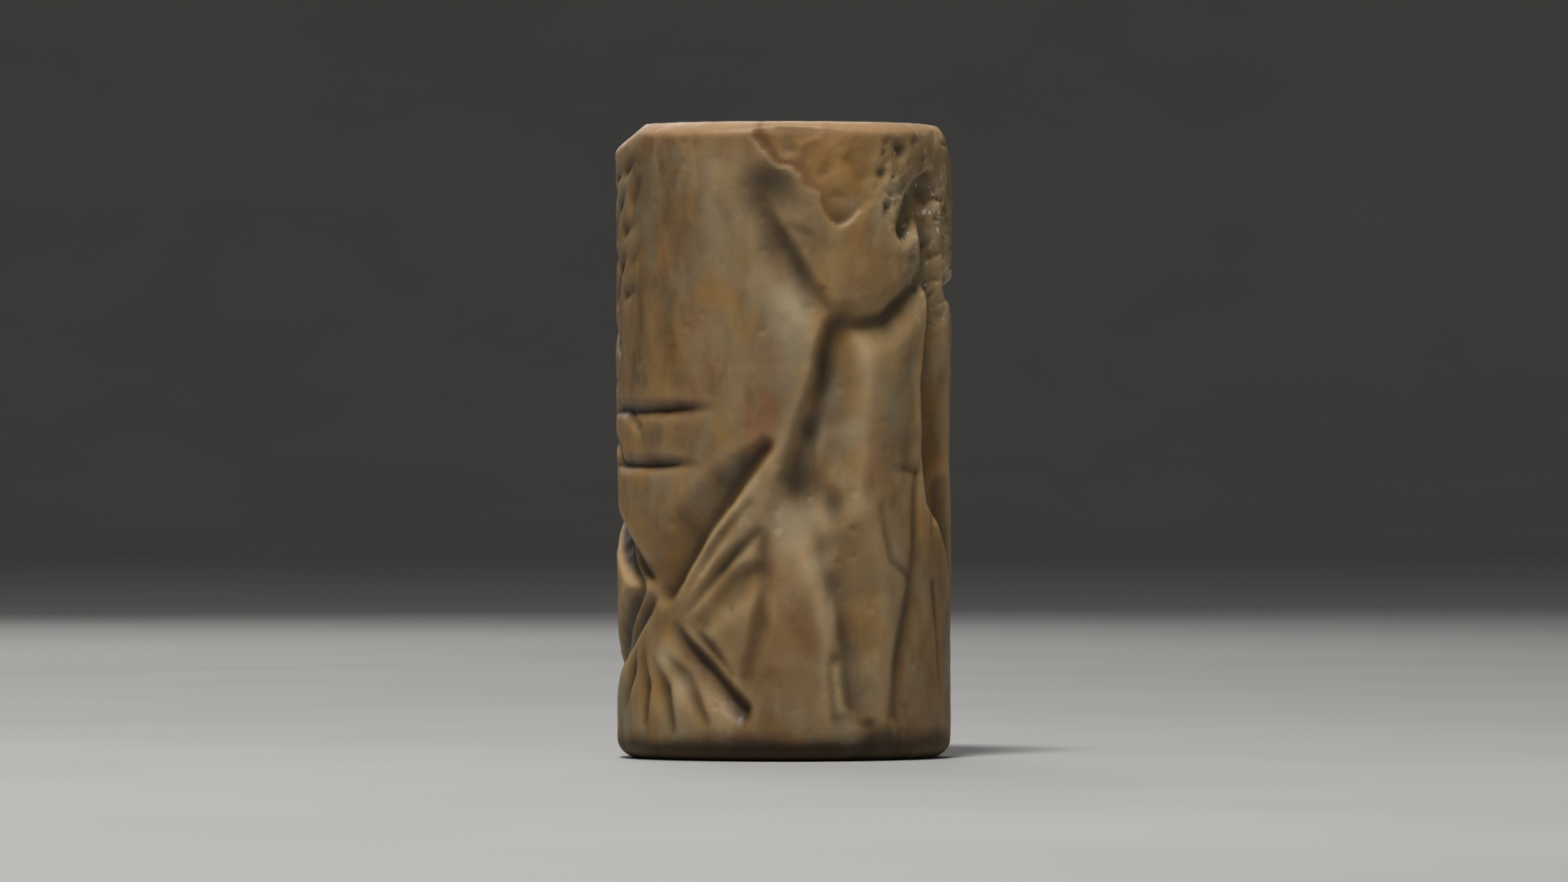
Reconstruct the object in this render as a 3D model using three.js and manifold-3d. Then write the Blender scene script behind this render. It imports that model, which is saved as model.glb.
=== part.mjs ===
/*
 * A carved stone cylinder seal, pierced from end to end and standing on its worn lower end.
 *
 * Millimetres, +Z up, origin at the middle of the lower end. The front of the stone faces -Y.
 * A place on the wall is an angle in degrees to the right of the front, as seen from outside, and
 * a height in percent of the stone's length. A heading of 0 points up the wall and 90 to the right.
 * Everything on the wall is cut into it, as the engraver did: a drill and gouges of different
 * widths sink hollows for figures of heroes and beasts, a crossed motif and two lines beside a
 * blank panel. Wear, pits and a flake lost from the upper edge come on top of that.
 */
import * as THREE from "three";
import Module from "manifold-3d";

const wasm = await Module();
wasm.setup();
const { CrossSection, Manifold } = wasm;
const { degToRad, lerp, radToDeg } = THREE.MathUtils;

// The stone.
const SEAL_LENGTH = 33.4;
const SEAL_DIAMETER = 18;
const TOP_WEAR_IN = 1.6;
const TOP_WEAR_DOWN = 1.05;
const BASE_WEAR_IN = 1.1;
const BASE_WEAR_UP = 1.15;
const WALL_TAPER = 0.16;

// The bore for the string, drilled from both ends to a narrower waist.
const BORE_MOUTH_DIAMETER = 6.6;
const BORE_WAIST_DIAMETER = 6;
const BORE_EDGE_ROUND = 0.35;

// How deep each kind of cut goes.
const BODY_CUT = 1.25;
const LIMB_CUT = 0.9;
const MOTIF_CUT = 0.8;
const LEG_CUT = 0.55;
const THIN_CUT = 0.5;
const LINE_CUT = 0.36;
const EYE_CUT = 0.75;
const FLAKE_CUT = 0.55;
const PIT_CUT = 0.16;

// The faceting: sides of the stone, the longest turn of the wall that one straight piece of a cut
// spans, and the size of the facets that are smoothed away.
const STONE_SIDES = 72;
const PIECE_TURN = 14;
const SMOOTHING = 0.02;

// The engraver's tools, by the depth they reach and the sides of their faceted ends: wheels for
// bodies and limbs, and pointed gravers that leave a notch.
const bodyWheel = { depth: BODY_CUT, sides: 12 };
const limbWheel = { depth: LIMB_CUT, sides: 8 };
const motifWheel = { depth: MOTIF_CUT, sides: 8 };
const legWheel = { depth: LEG_CUT, sides: 8 };
const graver = { depth: THIN_CUT, sides: 4 };
const needle = { depth: LINE_CUT, sides: 4 };
const eyeDrill = { depth: EYE_CUT, sides: 8 };
const flaking = { depth: FLAKE_CUT, sides: 12 };
const pitting = { depth: PIT_CUT, sides: 4 };

const STONE_COLOUR = 0x7a6549;

const wallRadius = SEAL_DIAMETER / 2;
const percent = (share) => (share * SEAL_LENGTH) / 100;

// The share of a tool's depth that stays above the wall, which makes the rim of its cut slope.
const TOOL_LIFT = 0.3;

const tools = [];

// A place on the wall in millimetres round it and up it.
function place(angle, height) {
  return { x: degToRad(angle) * wallRadius, z: percent(height) };
}

// The middle line of a cut: steps of heading, length and width from a start, in percent.
function trail(start, width, ...steps) {
  const line = [{ ...start, half: percent(width) / 2 }];
  for (const [heading, length, stepWidth] of steps) {
    const { x, z } = line.at(-1);
    const angle = degToRad(heading);
    line.push({
      x: x + percent(length) * Math.sin(angle),
      z: z + percent(length) * Math.cos(angle),
      half: percent(stepWidth) / 2,
    });
  }
  return line;
}

// The rounded end of a tool, sunk into the wall at a place.
function bead({ x, z, half }, { depth, sides }) {
  const lift = depth * TOOL_LIFT;
  const radial = depth + lift;
  const across = half / Math.sqrt(1 - (lift / radial) ** 2);
  return Manifold.sphere(1, sides)
    .scale([across, radial, across])
    .translate([0, -wallRadius - lift, z])
    .rotate([0, 0, radToDeg(x / wallRadius)]);
}

// A cut along a line: its pieces bend round the wall and are shallower where they are narrower.
function cut(tool, line) {
  const widest = Math.max(...line.map((point) => point.half));
  const toolAt = (half) => ({ ...tool, depth: tool.depth * (half / widest) ** 0.6 });
  for (let i = 1; i < line.length; i += 1) {
    const from = line[i - 1];
    const to = line[i];
    const pieces = Math.ceil(Math.abs(radToDeg((to.x - from.x) / wallRadius)) / PIECE_TURN) || 1;
    const beads = Array.from({ length: pieces + 1 }, (_, piece) => {
      const half = lerp(from.half, to.half, piece / pieces);
      const at = { x: lerp(from.x, to.x, piece / pieces), z: lerp(from.z, to.z, piece / pieces), half };
      return bead(at, toolAt(half));
    });
    for (let piece = 1; piece <= pieces; piece += 1) {
      tools.push(Manifold.hull([beads[piece - 1], beads[piece]]));
    }
  }
  return line.at(-1);
}

function drill(tool, at, width) {
  tools.push(bead({ ...at, half: percent(width) / 2 }, tool));
}

// A drilled ring: short cuts that follow one another round a centre.
const RING_SIDES = 10;

function ring(tool, centre, radius, width) {
  const sides = RING_SIDES;
  const side = 2 * radius * Math.sin(Math.PI / sides);
  const steps = Array.from({ length: sides }, (_, i) => [90 + (360 / sides) * (i + 0.5), side, width]);
  cut(tool, trail({ x: centre.x, z: centre.z + percent(radius) }, width, ...steps));
}

// A modelled cut: a broad shallow one, and a narrow deep one along its steep side.
const BROAD_SHARE = 0.62;
const STEEP_SHARE = 0.6;
const STEEP_SHIFT = 0.38;

function model(tool, line, steepHeading) {
  const side = degToRad(steepHeading);
  cut({ ...tool, depth: tool.depth * BROAD_SHARE }, line);
  const steep = line.map(({ x, z, half }) => ({
    x: x + Math.sin(side) * half * STEEP_SHIFT,
    z: z + Math.cos(side) * half * STEEP_SHIFT,
    half: half * STEEP_SHARE,
  }));
  cut(tool, steep);
  return line.at(-1);
}

// Figures are built from their joints: shoulders, then body, limbs and head.
const HEAD_RING = 3.2;
const HAND_SPREAD = 1.7;

// A place a few percent to the right of another and above it.
const beside = ({ x, z }, right, up = 0) => ({ x: x + percent(right), z: z + percent(up) });

function head(centre, facing) {
  ring(graver, centre, HEAD_RING, 1.7);
  drill(eyeDrill, centre, 3.6);
  cut(graver, trail(beside(centre, facing * HEAD_RING, -0.8), 2, [facing * 100, 3, 1.2]));
  const chin = beside(centre, -facing * 2, -HEAD_RING);
  cut(graver, trail(chin, 1.6, [facing * 150, 3, 1.8], [facing * 100, 4, 1.6]));
}

function hand(wrist, heading) {
  for (const finger of [-1, 0, 1]) {
    const knuckle = beside(wrist, 0, finger * HAND_SPREAD);
    cut(needle, trail(knuckle, 1.4, [heading + finger * 8, 4.6, 0.9]));
  }
}

function hero({ shoulders, width, body, arms, legs, headAt, facing }) {
  const hips = model(bodyWheel, trail(shoulders, width, ...body), -90);
  for (const arm of arms) {
    const wrist = model(limbWheel, trail(beside(shoulders, arm.from), arm.width, ...arm.steps), 0);
    if (arm.fingers) {
      hand(wrist, arm.fingers);
    }
  }
  for (const leg of legs) {
    const ankle = model(limbWheel, trail(beside(hips, leg.from), leg.width, ...leg.steps), -90);
    if (leg.foot) {
      cut(graver, trail(ankle, 3, [leg.foot, 6, 2.4]));
    }
  }
  if (headAt) {
    head(headAt, facing);
    cut(graver, trail(headAt, 2, [180, 10, 3]));
  }
}

// A beast that stands up on its hind legs, with its head turned.
function beast({ withers, lean, girth, neck, facing, legs }) {
  const flank = [[lean, 10, girth], [lean, 10, girth * 0.95], [lean, 7, girth * 0.7]];
  const rump = model(bodyWheel, trail(withers, girth * 0.75, ...flank), -90);
  const throat = [[neck, 8, 7.5], [neck, 9, 6], [neck - facing * 20, 4, 4.5]];
  const poll = model(limbWheel, trail(withers, 9, ...throat), facing * 90);
  cut(limbWheel, trail(poll, 6, [facing * 128, 4, 7], [facing * 138, 5, 4.6]));
  drill(eyeDrill, beside(poll, facing * 3, -2.4), 3.4);
  cut(needle, trail(poll, 1.4, [facing * 50, 4, 1.2], [facing * 115, 4, 0.9]));
  for (const { from, width, hoof, steps } of legs) {
    const hock = cut(limbWheel, trail(beside(rump, from), width, ...steps));
    const [shank] = steps.at(-1);
    const fetlock = cut(graver, trail(hock, 3.2, [shank + 4, 10, 2.8], [shank + 12, 6, 2.4]));
    cut(graver, trail(fetlock, 3, [hoof, 2.4, 2.2]));
  }
}

// Parallel strokes side by side, each starting a step further along than the one before.
function strokes(count, tool, start, heading, { gap, length, width, step }) {
  for (let i = 0; i < count; i += 1) {
    const along = degToRad(heading);
    const right = i * (step * Math.sin(along) + gap * Math.cos(along));
    const up = i * (step * Math.cos(along) - gap * Math.sin(along));
    const half = [heading, length / 2];
    cut(tool, trail(beside(start, right, up), width * 0.7, [...half, width], [...half, width * 0.6]));
  }
}

// The hero at the front: one arm raised, one held out to the beast on the right.
hero({
  shoulders: place(21, 67.5),
  width: 9,
  body: [[-176, 8, 11], [-168, 9, 14], [-168, 8, 16]],
  arms: [
    { from: -1, width: 8, steps: [[-36, 7, 9.5], [-36, 7.4, 9.5], [-31, 7.6, 6]] },
    { from: -1, width: 7, steps: [[98, 3.6, 6.5], [78, 4.7, 6.5], [52, 12, 4.4]], fingers: 56 },
  ],
  legs: [],
});
const shin = [[157, 8, 14], [163, 8, 13], [172, 8.1, 10.3], [181, 9, 8]];
model(legWheel, trail(place(14, 41), 11, ...shin), -90);
drill(motifWheel, place(9, 38.5), 16);
cut(needle, trail(place(17, 19), 1, [180, 6, 2], [178, 7, 2.4]));
cut(needle, trail(place(19, 6.6), 2.4, [97, 6, 3]));
drill(eyeDrill, place(19.5, 16), 2.4);
cut(needle, trail(place(-6, 35), 2.4, [180, 8, 3], [-168, 14, 1.6]));

// The hero at the right, with both arms spread and an arrow-thin chin.
hero({
  shoulders: place(109, 71),
  width: 9,
  body: [[174, 8, 10.5], [162, 9, 13], [160, 8, 13.5]],
  arms: [
    { from: 0, width: 7, steps: [[72, 6, 6.5], [68, 9, 5]] },
    { from: 0, width: 7, steps: [[-80, 6, 6], [-74, 9, 5]] },
  ],
  legs: [
    { from: -0.5, width: 13, steps: [[162, 9, 9], [160, 8, 6], [164, 9, 5], [166, 9, 2.2]] },
    { from: -6.5, width: 8, steps: [[-178, 9, 7], [-176, 8, 6.4], [180, 9, 5.4], [184, 9, 1.8]] },
  ],
  headAt: place(107, 85),
  facing: -1,
});
cut(graver, trail(place(152, 78), 3.6, [178, 7, 4]));

// The hero behind, who leans away from the animals on either side.
hero({
  shoulders: place(-152, 67),
  width: 10,
  body: [[168, 8, 11], [162, 9, 10.5], [160, 8, 9]],
  arms: [{ from: 0, width: 7, steps: [[-60, 7, 6], [-64, 7, 4.4]], fingers: -64 }],
  legs: [
    { from: -1, width: 9, steps: [[160, 8, 7], [166, 8, 4]] },
    { from: 3, width: 7, steps: [[-172, 8, 6], [-160, 8, 3]] },
  ],
  headAt: place(-149, 89.5),
  facing: -1,
});
cut(limbWheel, trail(place(-147, 84), 4.4, [176, 13, 7]));

// The beast between the first two heroes, with its tail and its far leg.
beast({
  withers: place(69, 69),
  lean: 180,
  girth: 14,
  neck: -15,
  facing: -1,
  legs: [{ from: 1, width: 9, hoof: -80, steps: [[150, 8, 6], [156, 8, 3]] }],
});
cut(graver, trail(place(54, 45.5), 1.4, [184, 12, 2.4], [190, 9, 3], [194, 9, 3], [188, 9, 2]));
cut(needle, trail(place(43, 45.5), 1, [93, 5.6, 1.4]));
cut(needle, trail(place(50, 28), 1.4, [-58, 6, 1.6], [-10, 9, 1]));
cut(needle, trail(place(62, 28), 2.2, [168, 9, 1.8], [172, 9, 1]));

// The great-eyed beast behind, between the other two heroes.
beast({
  withers: place(164, 69),
  lean: 171,
  girth: 16,
  neck: 6,
  facing: 1,
  legs: [
    { from: 2, width: 8, hoof: 90, steps: [[172, 8, 5], [138, 7, 3]] },
    { from: -3, width: 6, hoof: 180, steps: [[-178, 8, 4], [160, 7, 2.6]] },
  ],
});
drill(eyeDrill, place(179, 86.5), 4.8);
cut(graver, trail(place(-167, 82), 1.9, [-92, 18, 1.9]));

// The rearing lion at the left, worn down to its arched back, rows of short locks and its ribs.
cut(graver, trail(place(-145, 65), 3.8, [54, 6, 4], [77, 9, 4], [94, 8, 4], [122, 10, 3]));
cut(graver, trail(place(-139, 61), 3, [73, 8.5, 3], [93, 9.5, 3], [119, 9, 2]));
const LOCK_ROWS = 5;
const LOCKS = 5;
for (let row = 0; row < LOCK_ROWS; row += 1) {
  for (let lock = 0; lock < LOCKS; lock += 1) {
    const at = place(-128 + lock * 14 + (row % 2) * 7, 72 + row * 4.8 + (lock % 3) * 0.8);
    cut(graver, trail(at, 3, [30 + ((row * 3 + lock * 5) % 7) * 8, 4.8, 1.4]));
  }
}
const RIBS = 7;
for (let rib = 0; rib < RIBS; rib += 1) {
  cut(graver, trail(place(-72 - rib * 10, 55 - (rib % 3) * 5), 2.6, [118 + (rib % 4) * 14, 6, 1.4]));
}

// Two level lines under the blank panel, pointed at both ends, and a stray one beside them.
const levelLine = (angle, height, length, width) =>
  cut(graver, trail(place(angle, height), 0.8, [90, 8, width], [90, length, width], [90, 7, 0.6]));
levelLine(-92, 54.9, 17, 3.2);
levelLine(-88, 46.4, 12, 3);
cut(needle, trail(place(-84, 49.5), 2.6, [-76, 11, 2.4]));

// The crossed motif round a sunk middle: two broad arms and two of parallel strokes, with a leaf
// between the first two.
drill(motifWheel, place(-47, 25), 16);
drill(legWheel, place(-54, 20), 22);
model(motifWheel, trail(place(-47, 26), 12, [40, 10, 10], [40, 10, 7], [40, 9, 3]), 130);
cut(needle, trail(place(-38, 26), 2.4, [41, 9, 3], [41, 9, 1.2]));
cut(needle, trail(place(-36, 23.5), 2.8, [47, 9, 3.6], [47, 8, 1.6]));
model(motifWheel, trail(place(-43, 21), 4, [133, 9, 7], [133, 9.5, 7]), 45);
cut(graver, trail(place(-37, 21.5), 1.6, [137, 6, 2.6], [137, 6, 1.2]));
strokes(2, limbWheel, place(-54, 28), -58, { gap: -2.6, length: 26, width: 4.4, step: 3 });
strokes(2, limbWheel, place(-55, 25), -126, { gap: 3.4, length: 24, width: 5.4, step: 2 });
cut(needle, trail(place(-39, 21.8), 2.4, [84, 4.5, 4.6], [84, 5, 1]));

// Coarse pits at the upper right of the front and over the first beast.
const PITS = 24;
for (let pit = 0; pit < PITS; pit += 1) {
  const angle = 56 + ((pit * 0.618) % 1) * 66;
  const height = 73 + ((pit * 0.7549) % 1) * 24;
  drill(pitting, place(angle, height), 1.6 + (pit % 4) * 0.4);
}

// The flake lost from the upper edge: shells of stone that came away one under the other, deepest
// at the left, where they leave a stepped edge.
const shells = [
  { angle: 4, height: 100.5, width: 16, share: 1 },
  { angle: 16, height: 93, width: 11, share: 0.9 },
  { angle: 20.5, height: 88, width: 9.5, share: 0.75 },
  { angle: 33, height: 95, width: 17, share: 0.7 },
];
for (const { angle, height, width, share } of shells) {
  drill({ ...flaking, depth: FLAKE_CUT * share }, place(angle, height), width);
}

// The section of the stone beside the bore: quarter ellipses at its four worn edges.
function worn(centre, reach, fromDegrees, steps) {
  return Array.from({ length: steps + 1 }, (_, i) => {
    const angle = degToRad(fromDegrees + (90 * i) / steps);
    return [centre[0] + reach[0] * Math.cos(angle), centre[1] + reach[1] * Math.sin(angle)];
  });
}
const baseRadius = wallRadius - WALL_TAPER;
const lipRadius = BORE_MOUTH_DIAMETER / 2 + BORE_EDGE_ROUND;
const lip = [BORE_EDGE_ROUND, BORE_EDGE_ROUND];
const section = [
  ...worn([baseRadius - BASE_WEAR_IN, BASE_WEAR_UP], [BASE_WEAR_IN, BASE_WEAR_UP], -90, 3),
  ...worn([wallRadius - TOP_WEAR_IN, SEAL_LENGTH - TOP_WEAR_DOWN], [TOP_WEAR_IN, TOP_WEAR_DOWN], 0, 4),
  ...worn([lipRadius, SEAL_LENGTH - BORE_EDGE_ROUND], lip, 90, 2),
  [BORE_WAIST_DIAMETER / 2, SEAL_LENGTH / 2],
  ...worn([lipRadius, BORE_EDGE_ROUND], lip, 180, 2),
];
const stone = Manifold.revolve(new CrossSection([section]), STONE_SIDES);

const carved = stone.subtract(Manifold.union(tools)).simplify(SMOOTHING);

function geometryOf(solid) {
  const { numProp, vertProperties, triVerts } = solid.getMesh();
  const geometry = new THREE.BufferGeometry();
  const corners = new THREE.InterleavedBuffer(vertProperties, numProp);
  geometry.setAttribute("position", new THREE.InterleavedBufferAttribute(corners, 3, 0));
  geometry.setIndex([...triVerts]);
  return geometry.toNonIndexed();
}

const geometry = geometryOf(carved);
geometry.computeVertexNormals();
const seal = new THREE.Mesh(
  geometry,
  new THREE.MeshStandardMaterial({ color: STONE_COLOUR, roughness: 0.55, metalness: 0 }),
);
seal.name = "cylinder_seal";

const part = new THREE.Group();
part.name = "seal";
part.add(seal);

export default part;
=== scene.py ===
import math

import bmesh
import bpy
import numpy as np
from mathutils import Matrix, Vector


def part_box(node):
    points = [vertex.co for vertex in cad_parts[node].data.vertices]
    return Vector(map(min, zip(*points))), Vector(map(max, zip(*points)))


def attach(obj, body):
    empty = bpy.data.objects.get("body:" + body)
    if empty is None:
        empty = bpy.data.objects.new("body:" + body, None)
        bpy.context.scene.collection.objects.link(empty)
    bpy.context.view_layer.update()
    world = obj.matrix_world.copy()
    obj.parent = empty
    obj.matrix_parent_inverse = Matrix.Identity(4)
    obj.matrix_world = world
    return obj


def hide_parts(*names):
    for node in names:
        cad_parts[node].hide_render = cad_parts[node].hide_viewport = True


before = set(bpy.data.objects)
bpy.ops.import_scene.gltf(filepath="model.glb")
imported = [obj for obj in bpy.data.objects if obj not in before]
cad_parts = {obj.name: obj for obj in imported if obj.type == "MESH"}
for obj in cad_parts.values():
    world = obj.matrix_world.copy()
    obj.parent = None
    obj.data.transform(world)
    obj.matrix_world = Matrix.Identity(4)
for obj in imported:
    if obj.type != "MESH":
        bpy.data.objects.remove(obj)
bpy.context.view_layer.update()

# The seal: one cylinder of banded brown and grey stone, ground true, pierced for a string and
# engraved all round with wheels, gravers and drills. Long handling has rounded its ends and the
# rims of its cuts, and a flake has come away from the upper edge.
MM = 0.001
seal_low, seal_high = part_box("cylinder_seal")
LENGTH = (seal_high.z - seal_low.z) / MM
RADIUS = (seal_high.x - seal_low.x) / 2 / MM
TURN = 2 * math.pi * RADIUS
TOP_WEAR_IN, TOP_WEAR_DOWN = 1.6, 1.05
BASE_WEAR_IN, BASE_WEAR_UP = 1.1, 1.15
WALL_TAPER = 0.16
BORE_MOUTH_RADIUS, BORE_WAIST_RADIUS = 3.3, 3.0
BORE_LIP = 0.35

# The stone before carving is its section turned about the bore. The section is drawn closely
# along the wall, where the carving goes, and the sides are closest together at the front.
WALL_ROWS, TOP_EDGE_ROWS, BASE_EDGE_ROWS = 218, 12, 8
TOP_FACE_ROWS, BASE_FACE_ROWS, BORE_ROWS, LIP_ROWS = 6, 4, 4, 4
STONE_SIDES = 378
FRONT_CLOSENESS = 0.22
SEAM_REACH = 1e-7


def rounded(centre, reach, from_degrees, steps):
    """A quarter turn round a corner of the section."""
    angles = np.radians(from_degrees + 90 * np.arange(steps + 1) / steps)
    return [(centre[0] + reach[0] * math.cos(a), centre[1] + reach[1] * math.sin(a)) for a in angles]


def between(start, end, steps):
    """The points strictly between two corners of the section."""
    shares = np.arange(1, steps) / steps
    return [(start[0] + (end[0] - start[0]) * s, start[1] + (end[1] - start[1]) * s) for s in shares]


def stone_section():
    """The section's points as radius and height, from the lower end up the wall and down the bore."""
    base_corner = (RADIUS - WALL_TAPER - BASE_WEAR_IN, BASE_WEAR_UP)
    top_corner = (RADIUS - TOP_WEAR_IN, LENGTH - TOP_WEAR_DOWN)
    lip_radius = BORE_MOUTH_RADIUS + BORE_LIP
    base = rounded(base_corner, (BASE_WEAR_IN, BASE_WEAR_UP), -90, BASE_EDGE_ROWS)
    top = rounded(top_corner, (TOP_WEAR_IN, TOP_WEAR_DOWN), 0, TOP_EDGE_ROWS)
    top_lip = rounded((lip_radius, LENGTH - BORE_LIP), (BORE_LIP, BORE_LIP), 90, LIP_ROWS)
    base_lip = rounded((lip_radius, BORE_LIP), (BORE_LIP, BORE_LIP), 180, LIP_ROWS)
    waist = (BORE_WAIST_RADIUS, LENGTH / 2)
    return [
        *base,
        *between(base[-1], top[0], WALL_ROWS),
        *top,
        *between(top[-1], top_lip[0], TOP_FACE_ROWS),
        *top_lip,
        *between(top_lip[-1], waist, BORE_ROWS),
        waist,
        *between(waist, base_lip[0], BORE_ROWS),
        *base_lip,
        *between(base_lip[-1], base[0], BASE_FACE_ROWS),
    ]


def add(tree, kind, inputs=None, **settings):
    """A node with its settings, each input given as a value or as the socket that feeds it."""
    made = tree.nodes.new(kind)
    for name, value in settings.items():
        setattr(made, name, value)
    for name, value in (inputs or {}).items():
        if isinstance(value, bpy.types.NodeSocket):
            tree.links.new(value, made.inputs[name])
        else:
            made.inputs[name].default_value = value
    return made


def sums(tree, operation, *values):
    """The output of a math node."""
    return add(tree, "ShaderNodeMath", dict(enumerate(values)), operation=operation).outputs[0]


def geometry_tree(name, sockets):
    """A new tree with named inputs, and the sockets that give them."""
    tree = bpy.data.node_groups.new(name, "GeometryNodeTree")
    tree.interface.new_socket("Geometry", in_out="INPUT", socket_type="NodeSocketGeometry")
    for label, kind in sockets:
        tree.interface.new_socket(label, in_out="INPUT", socket_type="NodeSocket" + kind)
    tree.interface.new_socket("Geometry", in_out="OUTPUT", socket_type="NodeSocketGeometry")
    return tree, tree.nodes.new("NodeGroupInput").outputs


def close_tree(tree, geometry, material):
    """Ends a tree with real geometry that carries its material."""
    realized = add(tree, "GeometryNodeRealizeInstances", {"Geometry": geometry})
    coated = {"Geometry": realized.outputs[0], "Material": material}
    painted_shape = add(tree, "GeometryNodeSetMaterial", coated)
    add(tree, "NodeGroupOutput", {"Geometry": painted_shape.outputs[0]})


def turned_stone_tree():
    """Turns the points of a section, drawn in the XZ plane, about Z. Each column of a grid becomes
    the section at one angle, with its last row back at the first point."""
    sockets = [("Sides", "Int"), ("Front Closeness", "Float"), ("Stone", "Material")]
    tree, given = geometry_tree("turned_stone", sockets)
    section = given["Geometry"]
    points = add(tree, "GeometryNodeAttributeDomainSize", {"Geometry": section}).outputs["Point Count"]
    rows = sums(tree, "ADD", points, 1.0)
    columns = sums(tree, "ADD", given["Sides"], 1.0)
    grid = add(tree, "GeometryNodeMeshGrid", {"Vertices X": columns, "Vertices Y": rows})
    index = tree.nodes.new("GeometryNodeInputIndex").outputs[0]
    column = sums(tree, "FLOOR", sums(tree, "DIVIDE", sums(tree, "ADD", index, 0.5), rows))
    row = sums(tree, "SUBTRACT", index, sums(tree, "MULTIPLY", column, rows))
    wrapped = sums(tree, "MODULO", sums(tree, "ADD", row, 0.25), points)
    place_on_section = add(
        tree,
        "GeometryNodeSampleIndex",
        {"Geometry": section, "Index": sums(tree, "FLOOR", wrapped)},
        data_type="FLOAT_VECTOR",
        domain="POINT",
    )
    position = tree.nodes.new("GeometryNodeInputPosition").outputs[0]
    tree.links.new(position, place_on_section.inputs["Value"])
    radius_and_height = add(tree, "ShaderNodeSeparateXYZ", {0: place_on_section.outputs[0]}).outputs
    share_of_turn = sums(tree, "DIVIDE", column, given["Sides"])
    turn = sums(tree, "SUBTRACT", sums(tree, "MULTIPLY", share_of_turn, 2.0), 1.0)
    from_back = sums(tree, "SUBTRACT", 1.0, sums(tree, "ABSOLUTE", turn))
    closer = sums(tree, "MULTIPLY", given["Front Closeness"], from_back)
    even_angle = sums(tree, "MULTIPLY", turn, math.pi)
    angle = sums(tree, "MULTIPLY", even_angle, sums(tree, "SUBTRACT", 1.0, closer))
    radius = radius_and_height["X"]
    right = sums(tree, "MULTIPLY", radius, sums(tree, "SINE", angle))
    forward = sums(tree, "MULTIPLY", radius, sums(tree, "COSINE", angle))
    back = sums(tree, "MULTIPLY", forward, -1.0)
    corner = {"X": right, "Y": back, "Z": radius_and_height["Z"]}
    turned = add(tree, "ShaderNodeCombineXYZ", corner).outputs[0]
    placed = add(tree, "GeometryNodeSetPosition", {"Geometry": grid.outputs["Mesh"], "Position": turned})
    merging = {"Geometry": placed.outputs[0], "Distance": SEAM_REACH}
    closed = add(tree, "GeometryNodeMergeByDistance", merging)
    close_tree(tree, closed.outputs[0], given["Stone"])
    return tree


def baked(mesh, tree, inputs):
    """A plain mesh made by a tree from a mesh, with the tree's inputs given by name."""
    blank = bpy.data.objects.new("blank", mesh)
    bpy.context.scene.collection.objects.link(blank)
    modifier = blank.modifiers.new(tree.name, "NODES")
    modifier.node_group = tree
    for socket in tree.interface.items_tree:
        if socket.in_out == "INPUT" and socket.name in inputs:
            modifier[socket.identifier] = inputs[socket.name]
    shown = blank.evaluated_get(bpy.context.evaluated_depsgraph_get())
    made = bpy.data.meshes.new_from_object(shown)
    bpy.data.objects.remove(blank)
    bpy.data.meshes.remove(mesh)
    return made


# The carving is worked out on the wall unrolled flat, as the depth in millimetres at each point of
# a fine raster that runs once round the wall and once up it.
RASTER = 0.085
across_count, up_count = round(TURN / RASTER), round(LENGTH / RASTER) + 1
wall_x, wall_z = np.meshgrid(
    (np.arange(across_count) / across_count - 0.5) * TURN,
    np.linspace(0, LENGTH, up_count),
    indexing="ij",
)
CHANCE_SEED = 21
chance = np.random.default_rng(CHANCE_SEED)


def soften(field, reach, stretch=1.0):
    """A field blurred by a bell of the given reach in millimetres, stretched up the wall."""
    turns = np.fft.fftfreq(field.shape[0], RASTER)[:, None]
    mirrored = np.concatenate([field, field[:, ::-1]], axis=1)
    rises = np.fft.rfftfreq(mirrored.shape[1], RASTER)[None, :]
    bell = np.exp(-2 * (math.pi * reach) ** 2 * (turns**2 + (rises * stretch) ** 2))
    return np.fft.irfft2(np.fft.rfft2(mirrored) * bell, mirrored.shape)[:, : field.shape[1]]


def unevenness(reach, stretch=1.0):
    """A seeded smooth unevenness with the given reach, about -1 to 1."""
    field = soften(chance.normal(size=wall_x.shape), reach, stretch)
    return field / (2 * field.std())


def smooth_greater(a, b, blend):
    """The greater of two fields, rounded off where they meet."""
    share = np.clip(0.5 + 0.5 * (a - b) / blend, 0, 1)
    return b + (a - b) * share + blend * share * (1 - share)


# The engraver's hand: each line wanders a little from where it was meant to go.
HAND_REACH, HAND_WANDER = 1.4, 0.12
hand_x = wall_x + unevenness(HAND_REACH) * HAND_WANDER
hand_z = wall_z + unevenness(HAND_REACH) * HAND_WANDER
carving = np.zeros_like(wall_x)

# The tools, each with its depth in millimetres and the form of its end. A wheel leaves a round
# groove, a point a notch, and a gouge a soft hollow that runs out past its own half width.
BODY_WHEEL = (1.25, "wheel")
LIMB_WHEEL = (0.9, "wheel")
EYE_DRILL = (0.75, "wheel")
SMALL_DRILL = (0.4, "wheel")
DEEP_GRAVER = (0.55, "point")
GRAVER = (0.5, "point")
NEEDLE = (0.36, "point")
FOLD_NEEDLE = (0.3, "point")
DEEP_GOUGE = (0.95, "gouge")
BROAD_GOUGE = (0.72, "gouge")
ARM_GOUGE = (0.62, "gouge")
STREAK_GOUGE = (0.52, "gouge")
LEAF_GOUGE = (0.5, "gouge")
VALLEY_GOUGE = (0.3, "gouge")
SOFT_GOUGE = (0.26, "gouge")

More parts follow.
